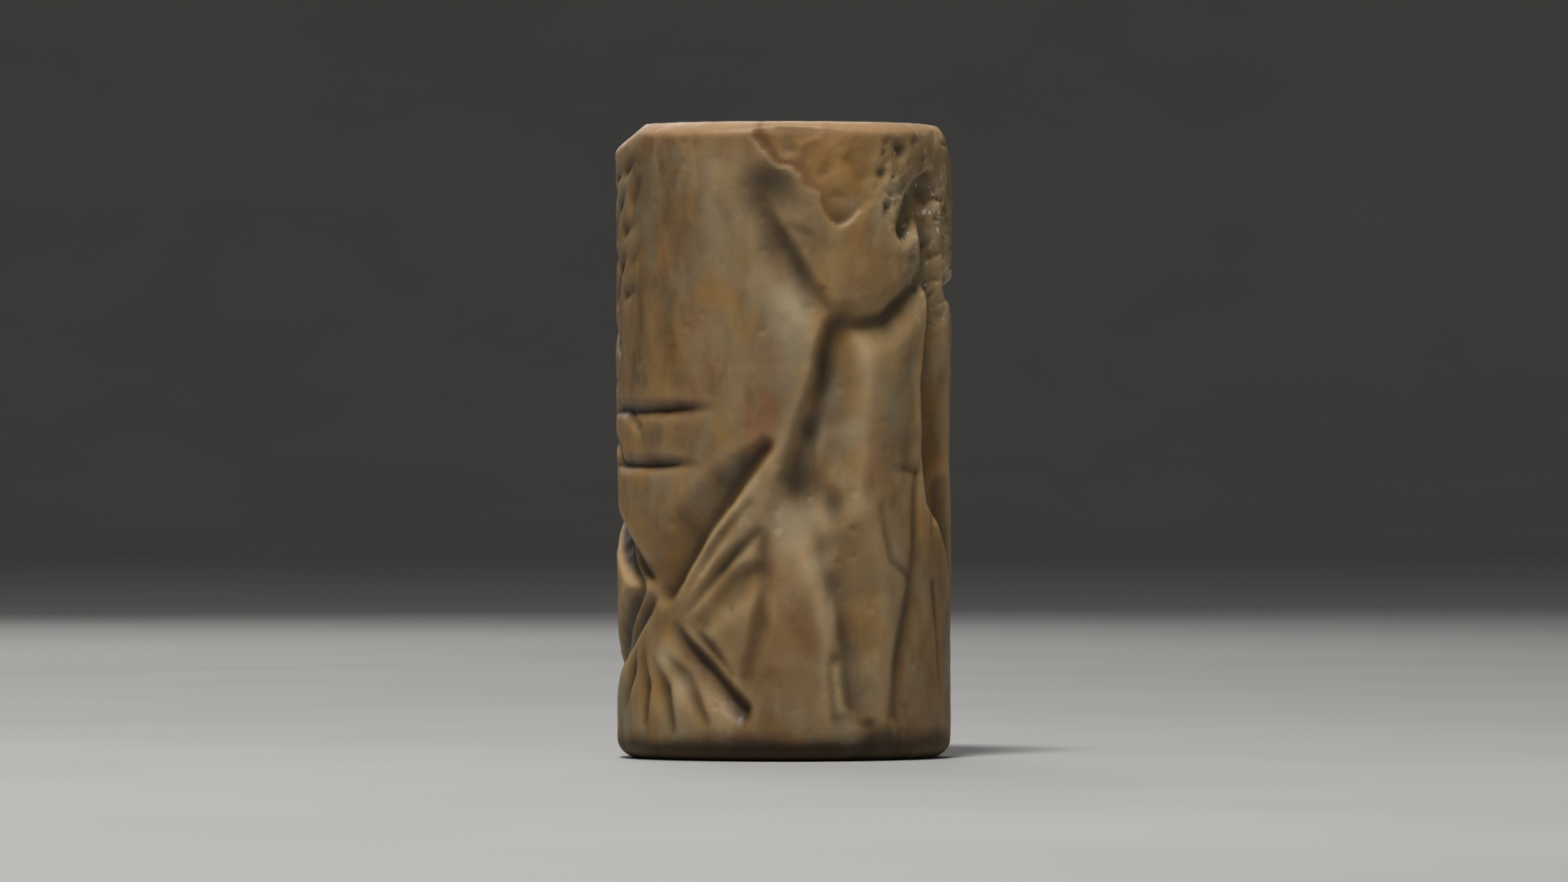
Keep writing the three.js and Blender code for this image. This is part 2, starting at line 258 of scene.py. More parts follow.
# A tool is held a little above the wall, so that only a part of its end bites. The rims of its cuts
# are rounded, and a cut is shallower where it is narrower.
TOOL_LIFT = 0.3
TOOL_SPREAD = 1 / math.sqrt(1 - (TOOL_LIFT / (1 + TOOL_LIFT)) ** 2)
CUT_BLEND, GOUGE_BLEND = 0.07, 0.24
GOUGE_REACH, GOUGE_FALL = 1.6, 1.7
NARROW_FALL = 0.6
TINY = 1e-9
TOOL_ENDS = {
    "wheel": lambda share: np.sqrt(1 - share**2),
    "point": lambda share: 1 - share,
    "gouge": lambda share: 1 - share**GOUGE_FALL,
}


def percent(share):
    """Percent of the seal's length in millimetres."""
    return share * LENGTH / 100


def across(angle):
    """The distance round the wall of an angle, in degrees to the right of the front."""
    return math.radians(angle) * RADIUS


def place(angle, height):
    """A place on the wall, from an angle and a height in percent of the length."""
    return (across(angle), percent(height))


def beside(at, right, up=0.0):
    """A place moved by a distance in percent."""
    return (at[0] + percent(right), at[1] + percent(up))


def trail(start, width, *steps):
    """A line of points with half widths, from steps of heading, length and width in percent. A
    heading of 0 points up the wall and 90 to the right."""
    x, z = start
    line = [(x, z, percent(width) / 2)]
    for heading, length, step_width in steps:
        x += percent(length) * math.sin(math.radians(heading))
        z += percent(length) * math.cos(math.radians(heading))
        line.append((x, z, percent(step_width) / 2))
    return line


def wrapped_from(x):
    """The raster's distance round the wall from x, the short way."""
    return (hand_x - x + TURN / 2) % TURN - TURN / 2


def cut(tool, line, lean=0.0, heading=0.0, deepest_on_line=False):
    """Sinks a tool along a line, shallower where the line is narrower. A tool that leans is
    deepest on the side that its heading points to, and rises gently on the other. The line is
    the middle of the cut, or its deepest part."""
    depth, end = tool
    furthest, blend = (GOUGE_REACH, GOUGE_BLEND) if end == "gouge" else (1, CUT_BLEND)
    steep_x, steep_z = math.sin(math.radians(heading)), math.cos(math.radians(heading))
    offset = 0 if deepest_on_line else 1
    widest = max(point[2] for point in line)
    start_x = line[0][0]
    xs = wrapped_from(start_x) + start_x
    margin = widest * (GOUGE_REACH + 2 * lean)
    reach = max(abs(point[0] - start_x) for point in line) + margin
    low = min(point[1] for point in line) - margin
    high = max(point[1] for point in line) + margin
    near = (np.abs(xs - start_x) < reach) & (hand_z > low) & (hand_z < high)
    xs, zs = xs[near], hand_z[near]
    sunk = np.full_like(xs, -TOOL_LIFT * depth)
    for (x1, z1, half1), (x2, z2, half2) in zip(line, line[1:]):
        dx, dz = x2 - x1, z2 - z1
        length = math.hypot(dx, dz)
        lean_x, lean_z = lean * steep_x, lean * steep_z
        if length > 0:
            side = math.copysign(lean, dz * steep_x - dx * steep_z) / length
            lean_x, lean_z = side * dz, -side * dx
        along = np.clip(((xs - x1) * dx + (zs - z1) * dz) / max(length**2, TINY), 0, 1)
        half = half1 + (half2 - half1) * along
        reached = depth * (half / widest) ** NARROW_FALL
        spread = half * TOOL_SPREAD
        right = (xs - x1 - along * dx) / spread - lean_x * offset
        up = (zs - z1 - along * dz) / spread - lean_z * offset
        away = np.maximum(np.hypot(right, up), TINY)
        leant = (right * lean_x + up * lean_z) / away
        rim = np.sqrt(leant**2 + 1 - lean**2) - leant
        profile = TOOL_ENDS[end](np.clip(away / rim, 0, furthest))
        sunk = np.maximum(sunk, reached * ((1 + TOOL_LIFT) * profile - TOOL_LIFT))
    carving[near] = smooth_greater(carving[near], sunk, blend)
    return line[-1][:2]


def drill(tool, at, width):
    """A round hole with a round floor."""
    cut(tool, [(*at, percent(width) / 2)] * 2)


RING_SIDES = 10


def ring(tool, centre, radius, width):
    """A ring cut in short straight strokes."""
    side = 2 * radius * math.sin(math.pi / RING_SIDES)
    steps = [(360 / RING_SIDES * (i + 0.5) + 90, side, width) for i in range(RING_SIDES)]
    cut(tool, trail(beside(centre, 0, radius), width, *steps))


HOLLOW_LEAN, BODY_LEAN, LIMB_LEAN = 0.3, 0.2, 0.45


def hollow(tool, line, steep_heading, lean=HOLLOW_LEAN):
    """A modelled hollow as deep as the tool, steep on one side and rising gently on the other."""
    return cut((tool[0], "gouge"), line, lean, steep_heading)


def dish(depth, at, width, lean=0.0, heading=0.0):
    """A round hollow, steep towards its heading."""
    cut((depth, "gouge"), [(*at, percent(width) / 2)] * 2, lean, heading)


# Figures are built from their joints: shoulders, then body, limbs and head. Facing is 1 to the
# right and -1 to the left.
HEAD_RING, FINGER_SPREAD = 3.2, 1.7


def head(centre, facing):
    """A drilled eye in a ring, with a nose and a chin."""
    ring(GRAVER, centre, HEAD_RING, 1.7)
    drill(EYE_DRILL, centre, 3.6)
    cut(GRAVER, trail(beside(centre, facing * HEAD_RING, -0.8), 2, (facing * 100, 3, 1.2)))
    chin = beside(centre, -facing * 2, -HEAD_RING)
    cut(GRAVER, trail(chin, 1.6, (facing * 150, 3, 1.8), (facing * 100, 4, 1.6)))


def hand(wrist, heading):
    """Three fingers, spread a little."""
    for finger in (-1, 0, 1):
        knuckle = beside(wrist, 0, finger * FINGER_SPREAD)
        cut(NEEDLE, trail(knuckle, 1.4, (heading + finger * 8, 4.6, 0.9)))


def hero(shoulders, width, body, arms, legs, head_at, facing=1):
    """A standing figure. An arm is given by its start, width, fingers' heading and steps, and a
    leg by its start, width and steps."""
    hips = hollow(BODY_WHEEL, trail(shoulders, width, *body), -90, BODY_LEAN)
    for start, arm_width, fingers, *steps in arms:
        arm = trail(beside(shoulders, start), arm_width, *steps)
        wrist = hollow(LIMB_WHEEL, arm, 10, LIMB_LEAN)
        if fingers:
            hand(wrist, fingers)
    for start, leg_width, *steps in legs:
        hollow(LIMB_WHEEL, trail(beside(hips, start), leg_width, *steps), -90)
    head(head_at, facing)
    cut(GRAVER, trail(head_at, 2, (180, 10, 3)))


def beast(withers, lean, girth, neck, facing, legs):
    """A beast that stands up on its hind legs, with its head turned."""
    flank = [(lean, 10, girth), (lean, 10, girth * 0.95), (lean, 7, girth * 0.7)]
    rump = hollow(BODY_WHEEL, trail(withers, girth * 0.75, *flank), -90)
    throat = [(neck, 8, 7.5), (neck, 9, 6), (neck - facing * 20, 4, 4.5)]
    poll = hollow(LIMB_WHEEL, trail(withers, 9, *throat), facing * 90)
    cut(LIMB_WHEEL, trail(poll, 6, (facing * 128, 4, 7), (facing * 138, 5, 4.6)))
    drill(EYE_DRILL, beside(poll, facing * 3, -2.4), 3.4)
    cut(NEEDLE, trail(poll, 1.4, (facing * 50, 4, 1.2), (facing * 115, 4, 0.9)))
    for start, width, hoof, *steps in legs:
        hock = cut(LIMB_WHEEL, trail(beside(rump, start), width, *steps))
        shank = steps[-1][0]
        fetlock = cut(GRAVER, trail(hock, 3.2, (shank + 4, 10, 2.8), (shank + 12, 6, 2.4)))
        cut(GRAVER, trail(fetlock, 3, (hoof, 2.4, 2.2)))


def strokes(count, tool, start, heading, gap, length, width, step):
    """Parallel strokes side by side, each starting a step further along than the one before."""
    along = math.radians(heading)
    for i in range(count):
        right = i * (step * math.sin(along) + gap * math.cos(along))
        up = i * (step * math.cos(along) - gap * math.sin(along))
        half = (heading, length / 2)
        cut(tool, trail(beside(start, right, up), width * 0.7, (*half, width), (*half, width * 0.6)))


# The hero at the front, with one arm raised and one held out to the beast on the right. The arms
# are one bent hollow, steep above, that thins to the raised hand and to the fingers.
FRONT_ARM_LEAN, FRONT_LEG_LEAN = 0.66, 0.4
front_body = trail(place(21, 67.5), 9.5, (-176, 8, 12), (-168, 9, 15), (-168, 8, 17))
hollow(BODY_WHEEL, front_body, -90, BODY_LEAN)
front_shoulder = place(18.8, 69.2)
raised_arm = trail(front_shoulder, 7, (-36, 7, 8.5), (-36, 7.4, 8.5), (-31, 7.6, 5))
cut(ARM_GOUGE, raised_arm, FRONT_ARM_LEAN, 45, deepest_on_line=True)
held_arm = trail(front_shoulder, 7, (98, 3.6, 7.5), (78, 4.7, 7.5), (52, 12, 5))
front_wrist = cut(ARM_GOUGE, held_arm, FRONT_ARM_LEAN, 0, deepest_on_line=True)
cut(SOFT_GOUGE, [*raised_arm[::-1], *held_arm])
hand(front_wrist, 56)

# The raised hand, worn to a hollow with a few folds.
dish(0.5, place(-6, 87.5), 13, 0.25, 20)
cut(FOLD_NEEDLE, trail(place(10, 82), 1.6, (-70, 4, 2.6), (-100, 4, 1.2)))
cut(NEEDLE, trail(place(-3, 91), 2, (-150, 5, 2.6), (165, 5, 1.4)))
cut(NEEDLE, trail(place(2, 84), 2, (-120, 4, 2.6), (-170, 5, 1.4)))

# The leg that shows, its broad hip, the slit and the foot below, and the valley at its left.
front_leg = trail(place(14, 41), 11, (157, 8, 14), (163, 8, 13), (172, 8.1, 10.3), (181, 9, 8))
cut(BROAD_GOUGE, front_leg, FRONT_LEG_LEAN, -100)
dish(1.0, place(9, 38.5), 17.5, 0.55, 40)
cut(NEEDLE, trail(place(17, 19), 1, (180, 6, 2), (178, 7, 2.4)))
cut(NEEDLE, trail(place(19, 6.6), 2.4, (97, 6, 3)))
dish(0.4, place(19.5, 16), 3.4)
cut(VALLEY_GOUGE, trail(place(-6, 35), 2.4, (180, 8, 5), (-168, 14, 2.4)), HOLLOW_LEAN, -90)

# The hero at the right, with both arms spread and an arrow-thin chin.
hero(
    place(109, 71),
    9,
    [(174, 8, 10.5), (162, 9, 13), (160, 8, 13.5)],
    arms=[(0, 7, None, (72, 6, 6.5), (68, 9, 5)), (0, 7, None, (-80, 6, 6), (-74, 9, 5))],
    legs=[
        (-0.5, 13, (162, 9, 9), (160, 8, 6), (164, 9, 5), (166, 9, 2.2)),
        (-6.5, 8, (-178, 9, 7), (-176, 8, 6.4), (180, 9, 5.4), (184, 9, 1.8)),
    ],
    head_at=place(107, 85),
    facing=-1,
)
cut(GRAVER, trail(place(152, 78), 3.6, (178, 7, 4)))

# The hero behind, who leans away from the animals on either side.
hero(
    place(-152, 67),
    10,
    [(168, 8, 11), (162, 9, 10.5), (160, 8, 9)],
    arms=[(0, 7, -64, (-60, 7, 6), (-64, 7, 4.4))],
    legs=[(-1, 9, (160, 8, 7), (166, 8, 4)), (3, 7, (-172, 8, 6), (-160, 8, 3))],
    head_at=place(-149, 89.5),
    facing=-1,
)
cut(LIMB_WHEEL, trail(place(-147, 84), 4.4, (176, 13, 7)))

# The beast between the first two heroes, with its tail and its far leg.
beast(place(69, 69), 180, 14, -15, -1, [(1, 9, -80, (150, 8, 6), (156, 8, 3))])
tail = trail(place(54, 45.5), 2.4, (184, 12, 3.6), (190, 9, 4.4), (194, 9, 4.4), (188, 9, 3))
cut(SOFT_GOUGE, tail, 0.4, -90)
cut(NEEDLE, trail(place(43, 45.5), 1, (93, 5.6, 1.4)))
cut(NEEDLE, trail(place(50, 28), 1.4, (-58, 6, 1.6), (-10, 9, 1)))
cut(NEEDLE, trail(place(62, 28), 2.2, (168, 9, 1.8), (172, 9, 1)))
drill(SMALL_DRILL, place(64, 38), 1.8)

# The great-eyed beast behind, between the other two heroes.
beast(
    place(164, 69),
    171,
    16,
    6,
    1,
    [(2, 8, 90, (172, 8, 5), (138, 7, 3)), (-3, 6, 180, (-178, 8, 4), (160, 7, 2.6))],
)
drill(EYE_DRILL, place(179, 86.5), 4.8)
cut(GRAVER, trail(place(-167, 82), 1.9, (-92, 18, 1.9)))

# The rearing lion at the left, worn down to its arched back, rows of short locks and its ribs.
LOCK_ROWS, LOCKS_IN_ROW, LOCK_GAP, ROW_RISE = 5, 5, 14, 4.8
RIBS, RIB_GAP = 7, 10
cut(GRAVER, trail(place(-145, 65), 3.8, (54, 6, 4), (77, 9, 4), (94, 8, 4), (122, 10, 3)))
cut(GRAVER, trail(place(-139, 61), 3, (73, 8.5, 3), (93, 9.5, 3), (119, 9, 2)))
for row in range(LOCK_ROWS):
    for lock in range(LOCKS_IN_ROW):
        angle = -128 + (lock + row % 2 / 2) * LOCK_GAP
        at = place(angle, 72 + row * ROW_RISE + (lock % 3) * 0.8)
        cut(GRAVER, trail(at, 3, (30 + ((row * 3 + lock * 5) % 7) * 8, 4.8, 1.4)))
for rib in range(RIBS):
    at = place(-72 - rib * RIB_GAP, 55 - (rib % 3) * 5)
    cut(GRAVER, trail(at, 2.6, (118 + (rib % 4) * 14, 6, 1.4)))

# Two level lines under the blank panel, pointed at both ends, and a stray one beside them.
for angle, height, length, width in ((-92, 54.9, 17, 3.2), (-88, 46.4, 12, 3)):
    cut(GRAVER, trail(place(angle, height), 0.8, (90, 8, width), (90, length, width), (90, 7, 0.6)))
cut(NEEDLE, trail(place(-84, 49.5), 2.6, (-76, 11, 2.4)))

# The crossed motif: two broad arms and two of parallel strokes, with a leaf between the first two.
# The stone round it is dished above and below the crossing.
dish(0.5, place(-50, 29), 24, 0.5, 180)
dish(0.4, place(-55, 18), 28, 0.6, 20)
upper_arm = trail(place(-45, 26.5), 12, (40, 10, 11), (40, 10, 8), (40, 9, 3))
cut(DEEP_GOUGE, upper_arm, 0.62, 130, deepest_on_line=True)
cut(GRAVER, trail(place(-38, 26), 3, (41, 9, 3.8), (41, 10, 1.6)))
cut(DEEP_GRAVER, trail(place(-36, 23.5), 3.4, (47, 9, 4.4), (47, 9, 2)))
cut(LEAF_GOUGE, trail(place(-30, 21.5), 5, (50, 8, 8), (60, 5, 5)), HOLLOW_LEAN, 0)
lower_arm = trail(place(-41, 21.5), 4, (134, 9, 7), (134, 9.5, 5))
cut(BROAD_GOUGE, lower_arm, 0.76, 45, deepest_on_line=True)
cut(GRAVER, trail(place(-35, 21.8), 2, (137, 6, 3.4), (137, 6, 1.6)))
strokes(2, LIMB_WHEEL, place(-54, 28), -58, -2.6, 26, 4.4, 3)
strokes(2, LIMB_WHEEL, place(-55, 25), -126, 3.4, 24, 5.4, 2)
cut(NEEDLE, trail(place(-39, 21.8), 2.4, (84, 4.5, 4.6), (84, 5, 1)))

# Streaks fan down from the crossing, each given by its angle, height, heading, length and width.
FAN = ((-48, 17, 136, 15, 6), (-54, 16, 150, 13, 5.4), (-60, 16.5, 170, 11, 4.4), (-66, 18, 192, 10, 4))
STREAK_END, STREAK_BEND, STREAK_LEAN = 1.6, 4, 0.5
for angle, height, heading, length, width in FAN:
    upper = (heading, length * 0.45, width)
    lower = (heading + STREAK_BEND, length * 0.55, STREAK_END)
    cut(STREAK_GOUGE, trail(place(angle, height), STREAK_END, upper, lower), STREAK_LEAN, 60)


def bell(angle, height, half_width, half_height):
    """A soft spot on the wall, 1 in its middle, with its half sizes in millimetres."""
    x, z = place(angle, height)
    return np.exp(-(((wall_x - x) / half_width) ** 2) - ((wall_z - z) / half_height) ** 2)


# Long handling has rubbed the carving: rims are rounded everywhere, and two spots are worn down
# further. The wall between cuts is no longer quite true, and the floors of deep cuts are uneven.
RUB_REACH, HARD_RUB_REACH, HARD_RUB = 0.16, 0.4, 0.8
FLOOR_UNEVENNESS, DEEP_FLOOR = 0.07, 0.8
WALL_UNEVENNESS = ((0.06, 1.9, 1.6), (0.05, 0.8, 1.4), (0.022, 0.32, 1.5))
carving = soften(carving, RUB_REACH)
rubbed_away = bell(-60, 82, 2.4, 7) + 0.8 * bell(51, 83, 1.8, 2.6)
carving = carving + (soften(carving, HARD_RUB_REACH) - carving) * HARD_RUB * rubbed_away
uneven_floor = FLOOR_UNEVENNESS * unevenness(0.5, 1.2)
carving = carving + uneven_floor * np.clip(carving / DEEP_FLOOR, 0, 1)
for depth, reach, stretch in WALL_UNEVENNESS:
    carving = carving + depth * (1 + unevenness(reach, stretch))

# The flake lost from the upper edge: it broke away in shells, with a stepped, wandering border at
# the left and a ledge inside it, and feathers out to the right. Each shell is given by its angle,
# height and width.
FLAKE_SHELLS = ((4, 100.5, 16), (16, 93, 11), (20.5, 88, 9.5), (33, 95, 17))
SHELL_BLEND = 0.25
FLAKE_STEP, FLAKE_BLEND = 0.5, 0.03
LEDGE_WIDTH, LEDGE_SHARE, LEDGE_CURVE = 0.3, 0.88, 0.6
INNER_LEDGE_AT, INNER_LEDGE_WIDTH, INNER_LEDGE_SHARE = 1.0, 0.55, 0.28
FLAKE_END, FEATHER_WIDTH, FEATHER_CURVE = 38, 3.6, 0.7
FLAKE_EVENNESS, FLAKE_UNEVENNESS = 0.8, ((0.2, 0.9), (0.1, 0.35))
BREAK_WANDER, BREAK_REACH = 0.42, 0.36
FINE_WANDER, FINE_REACH = 0.1, 0.14
break_x = wall_x + unevenness(BREAK_REACH) * BREAK_WANDER + unevenness(FINE_REACH) * FINE_WANDER
break_z = wall_z + unevenness(BREAK_REACH) * BREAK_WANDER + unevenness(FINE_REACH) * FINE_WANDER
inside = np.full_like(wall_x, -LENGTH)
for angle, height, width in FLAKE_SHELLS:
    x, z = place(angle, height)
    shell = percent(width) / 2 - np.hypot(break_x - x, break_z - z)
    inside = smooth_greater(inside, shell, SHELL_BLEND)
feather = np.clip((across(FLAKE_END) - wall_x) / FEATHER_WIDTH, 0, 1) ** FEATHER_CURVE
ledge = np.clip(inside / LEDGE_WIDTH, 0, 1)
inner_ledge = np.clip((inside - INNER_LEDGE_AT) / INNER_LEDGE_WIDTH, 0, 1)
steps_in = LEDGE_SHARE * ledge**LEDGE_CURVE + INNER_LEDGE_SHARE * inner_ledge
flake_floor = FLAKE_EVENNESS + sum(share * unevenness(reach) for share, reach in FLAKE_UNEVENNESS)
carving = smooth_greater(carving, FLAKE_STEP * steps_in * feather * flake_floor, FLAKE_BLEND)

# The upper edge is worn to a slope at the far left and to a steeper one at the far right. Each is
# given by its angle, the half turn that it fades over, and how far down and in it goes.
EDGE_SLOPES = ((-88, 0.75, 1.4, 1.7), (88, 0.6, 2.2, 0.9))
SLOPE_FADE, SLOPE_BLEND = 2.5, 0.3
for angle, half_turn, down, depth in EDGE_SLOPES:
    worn_side = np.exp(-(((wall_x - across(angle)) / RADIUS / half_turn) ** 2))
    slope = (wall_z - LENGTH + down) / down * depth - SLOPE_FADE * (1 - worn_side)
    carving = smooth_greater(carving, slope, SLOPE_BLEND)

# Small chips: along the two worn edges, on the sides, and beside the flake. Each is given by its
# angle, height, width, depth and the heading of its steep side.
CHIP_LEAN = 0.4
CHIPS = (
    (-64, 100, 9, 0.45, 0),
    (-40, 101, 6, 0.3, 0),
    (63, 101, 11, 0.5, 0),
    (43, 95, 5, 0.4, 30),
    (46, 89.5, 4.5, 0.45, 60),
    (38, 86.5, 3, 0.3, 0),
    (35, 91.5, 3.4, 0.35, 10),
    (-86, 66, 4, 0.35, 90),
    (-88, 41, 5, 0.4, 90),
    (-83, 78, 3.4, 0.3, 90),
    (86, 72, 4, 0.35, -90),
    (-52, -0.5, 7, 0.4, 180),
    (31, 0, 9, 0.35, 180),
)
for angle, height, width, depth, heading in CHIPS:
    dish(depth, place(angle, height), width, CHIP_LEAN, heading)

# Coarse pits where the stone is weathered, at the upper right of the front and beside the flake.
PIT_DEPTH, PIT_REACH, PIT_LEVEL = 0.22, 0.16, 0.4
CRUMBLING, CRUMB_REACH = 0.1, 0.28
pitted = np.maximum(bell(70, 86, 3.2, 5), 0.75 * bell(41, 90, 1.1, 2.2))
pits = np.clip((unevenness(PIT_REACH) - PIT_LEVEL) / PIT_LEVEL, 0, 1)
carving = carving + pitted * (PIT_DEPTH * pits + CRUMBLING * (1 + unevenness(CRUMB_REACH)))

# What the dirt and painted shade follow, the tight hollows, and what the wear and painted highlights
# follow, the ridges, found by setting the carving against a softened copy of itself.
CREVICE_REACH, CREVICE_DEPTH = 0.55, 0.17
leftover = (carving - soften(carving, CREVICE_REACH)) / CREVICE_DEPTH


BLOT_EVENNESS, BLOT_UNEVENNESS = 0.85, 0.5
BLOT_REACH, BLOT_STRETCH = 0.55, 1.3


def blots(*marks):
    """A mask of soft spots, each given by its angle, height, half width, half height and
    strength."""
    field = np.zeros_like(wall_x)
    for angle, height, half_width, half_height, strength in marks:
        spot = bell(angle, height, percent(half_width), percent(half_height))
        field = np.maximum(field, strength * spot)
    mottled = BLOT_EVENNESS + BLOT_UNEVENNESS * unevenness(BLOT_REACH, BLOT_STRETCH)
    return np.clip(field * mottled, 0, 1)


# The masks of the wall: its stains, with painted shade in the dark ones and painted highlights in the
# pale ones, the fresh stone in the flake, the flake's broken edge, the crumbling stone, and the hollows
# and ridges.
BORDER_MIDDLE, BORDER_HALF = 0.55, 0.5
BORDER_END, BORDER_FADE = 20, 2.5
near_border = np.clip(1 - np.abs(inside - BORDER_MIDDLE) / BORDER_HALF, 0, 1)
left_of_end = np.clip((across(BORDER_END) - wall_x) / BORDER_FADE, 0, 1)
wall_masks = {
    # Pale stains, with painted highlights where slopes face the light.
    "pale_stain_and_highlight": blots(
        (4, 71, 5, 5, 0.9), (6, 36, 5.5, 5, 1), (13, 27, 1.6, 6, 0.7), (-24, 92, 3, 4, 0.5),
        (29, 64, 2, 4, 0.8), (20, 57, 2, 3, 0.9), (13, 52, 1.5, 3, 0.5), (27, 40, 3, 2, 0.6),
        (2, 37, 4, 4, 1), (8, 35, 4, 4, 1), (10, 31, 3, 4, 1), (17, 24, 1.5, 4, 0.8),
        (-47, 16, 2.5, 2.5, 0.9), (-39, 11.5, 2.5, 2.5, 0.9), (24, 52, 2, 2, 0.5),
        (-25, 86, 2, 7, 0.45), (38, 89, 3, 5, 0.6), (43, 81.5, 1.8, 1.6, 0.8), (24, 87, 2, 1.4, 0.5),
    ),
    "grey_stain": blots(
        (42, 57, 4.5, 12, 0.8), (-25, 80, 7, 14, 0.35), (-6, 86, 8, 8, 0.5), (32, 31, 5, 8, 0.7),
        (50, 75, 4, 5, 0.8),
    ),
    "ochre_stain": blots(
        (-48, 10, 6, 6, 0.6), (8, 12, 6, 6, 0.4), (25, 91, 10, 8, 0.9), (37, 84, 6, 7, 0.6),
        (26, 74, 9, 6, 0.8), (30, 65, 4, 5, 0.8), (26, 55, 3, 4, 0.7), (66, 50, 5, 45, 0.9),
        (-25, 26, 6, 7, 0.6), (42, 83, 4, 5, 0.9), (28, 22, 4, 10, 0.5), (20, 76, 6, 4, 0.7),
        (-68, 80, 3, 12, 0.5), (28, 47, 4, 3, 0.5),
    ),
    "red_stain": blots(
        (-8, 97, 3, 4, 0.9), (-34, 66, 4, 16, 0.5), (-6, 60, 3, 12, 0.5), (34, 42, 3, 9, 0.6),
        (4, 16, 4, 10, 0.5), (-68, 60, 3, 8, 0.5),
    ),
    # Dark stains, with painted shade on walls and hollows that face away from the light.
    "dark_stain_and_shade": blots(
        (-4, 88, 4, 6, 0.7), (-56, 84, 3.5, 9, 0.7), (-50, 32, 5, 5, 0.6), (0, 47, 3, 6, 0.3),
        (-20, 36, 7, 4, 0.3), (32, 15, 5, 8, 0.3), (44, 72, 3, 3, 0.4), (-48, 72, 3, 5, 0.4),
        (28, 73.5, 7, 3, 0.55), (3, 50, 2, 7, 0.6), (13, 60, 1.6, 8, 0.4), (-14, 44, 3, 3, 0.4),
        (-30, 33, 3, 4, 0.4), (50, 86, 2, 5, 0.6), (-34, 36, 5, 4, 0.35), (-30, 19, 1.5, 3, 0.3),
        (12, 5, 12, 2, 0.5), (-54, 9, 6, 6, 0.25), (-64, 92, 3, 4, 0.5),
    ),
    "flaked": ledge * feather,
    "broken_edge": near_border * feather * left_of_end,
    "pitted": pitted * np.clip(0.75 + 0.6 * unevenness(0.3), 0, 1),
    # Dirt and painted shade in the tight hollows; wear and painted highlights on the ridges.
    "crevice_dirt_and_shade": np.clip(leftover, 0, 1),
    "ridge_wear_and_highlight": np.clip(-leftover, 0, 1),
}


def looked_up(field, x, z):
    """A raster's values at places on the wall."""
    column = (x / TURN + 0.5) * across_count
    row = np.clip(z / LENGTH, 0, 1) * (up_count - 1)
    left = np.floor(column).astype(int)
    below = np.minimum(np.floor(row).astype(int), up_count - 2)
    right_share, up_share = column - left, row - below
    left, right = left % across_count, (left + 1) % across_count
    lower = field[left, below] * (1 - right_share) + field[right, below] * right_share
    upper = field[left, below + 1] * (1 - right_share) + field[right, below + 1] * right_share
    return lower * (1 - up_share) + upper * up_share


stone = bpy.data.materials.new("banded_stone")

section_mesh = bpy.data.meshes.new("section")
section_mesh.from_pydata([(r * MM, 0, z * MM) for r, z in stone_section()], [], [])
turned_stone = baked(
    section_mesh,
    turned_stone_tree(),
    {"Sides": STONE_SIDES, "Front Closeness": FRONT_CLOSENESS, "Stone": stone},
)

# The carving is sunk into the turned stone: a point goes inwards to where the tool reached. The
# points near the bore stay where they are.
EDGE_BLEND, CARVED_REACH = 0.12, 2.25
corners = np.empty(len(turned_stone.vertices) * 3)
turned_stone.vertices.foreach_get("co", corners)
corners = corners.reshape(-1, 3) / MM
radii = np.hypot(corners[:, 0], corners[:, 1])
around = np.arctan2(corners[:, 0], -corners[:, 1]) * RADIUS
heights = corners[:, 2]
sunk_to = RADIUS - looked_up(carving, around, heights)
carved = -smooth_greater(-radii, -sunk_to, EDGE_BLEND)
carved = np.where(radii > RADIUS - CARVED_REACH, np.minimum(carved, radii), radii)
corners[:, :2] *= (carved / radii)[:, None]
turned_stone.vertices.foreach_set("co", (corners * MM).ravel())


def write_mask(name, values):
    """Keeps a mask on the stone's points, for the stone's material to read."""
    turned_stone.attributes.new(name, "FLOAT", "POINT").data.foreach_set("value", values)


# The stone's points carry the masks of the wall, of the tan upper end, which is palest at its worn
# edge, of the painted shade at the foot, which is darkest at the front, and of the bore.
WALL_FADE = 0.5
RIM_WANDER, RIM_FADE, WALL_EDGE = 0.3, 0.3, 0.1
WORN_BAND, WORN_BAND_FADE, END_SHARE = 2.2, 0.8, 0.35
FOOT_HEIGHT, FOOT_FADE, FOOT_WANDER, SIDE_SHARE = 1.8, 0.8, 0.3, 0.65
on_wall = np.clip((radii - RADIUS + TOP_WEAR_IN) / WALL_FADE, 0, 1)
for name, field in wall_masks.items():
    write_mask(name, looked_up(field, around, heights) * on_wall)
rim_wander = looked_up(RIM_WANDER * unevenness(0.7), around, heights)
above_edge = np.clip((heights - LENGTH + TOP_WEAR_DOWN + rim_wander) / RIM_FADE, 0, 1)
in_from_wall = np.clip((RADIUS - radii) / WALL_EDGE, 0, 1)
worn_band = np.clip((radii - RADIUS + WORN_BAND) / WORN_BAND_FADE, 0, 1)
write_mask("rim", above_edge * in_from_wall * (END_SHARE + (1 - END_SHARE) * worn_band))
# The foot is painted dark as shade, most strongly at the front.
foot_wander = looked_up(FOOT_WANDER * unevenness(0.9), around, heights)
low_down = np.clip((FOOT_HEIGHT + foot_wander - heights) / FOOT_FADE, 0, 1)
facing_front = SIDE_SHARE + (1 - SIDE_SHARE) * np.cos(around / RADIUS)
write_mask("foot", low_down * facing_front)
write_mask("bore", np.clip((BORE_MOUTH_RADIUS + BORE_LIP - radii) / BORE_LIP, 0, 1))


